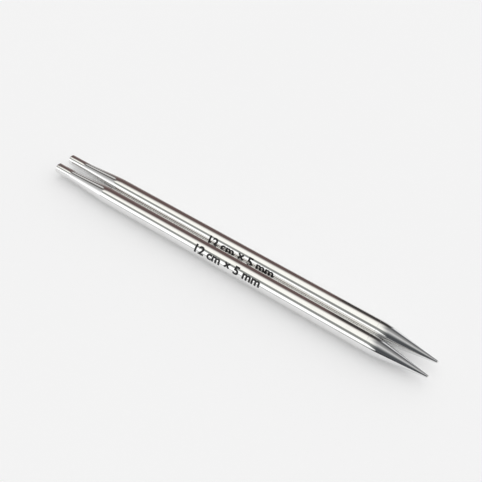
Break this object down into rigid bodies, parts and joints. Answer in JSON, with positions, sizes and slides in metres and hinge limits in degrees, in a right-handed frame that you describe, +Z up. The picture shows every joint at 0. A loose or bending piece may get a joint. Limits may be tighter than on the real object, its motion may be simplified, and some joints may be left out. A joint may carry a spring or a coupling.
{
  "type": "knitting needle tip pair",
  "caption": "Matched polished steel knitting needle tips lying side by side, each with a tapered point and a narrow neck with an internal thread that screws onto a cable.",
  "frame": {"origin": "under the middle of the pair, on the surface that it lies on", "axes": "+X along both tips towards their points, +Y from the front tip to the rear one, +Z up"},
  "size_m": [0.1204, 0.01, 0.005],
  "materials": {
    "polished_tube": "mirror polished stainless steel",
    "ground_point": "ground and polished stainless steel",
    "thread_bush": "turned stainless steel"
  },
  "bodies": {
    "front_needle": {"front_shaft": "polished_tube", "front_point": "ground_point", "front_connector": "thread_bush"},
    "rear_needle": {"rear_shaft": "polished_tube", "rear_point": "ground_point", "rear_connector": "thread_bush"}
  },
  "joints": [
    {"name": "rear_needle_lift", "type": "slide", "parent": "front_needle", "child": "rear_needle", "axis": [0, 0, 1], "range_m": [0, 0.03]}
  ]
}
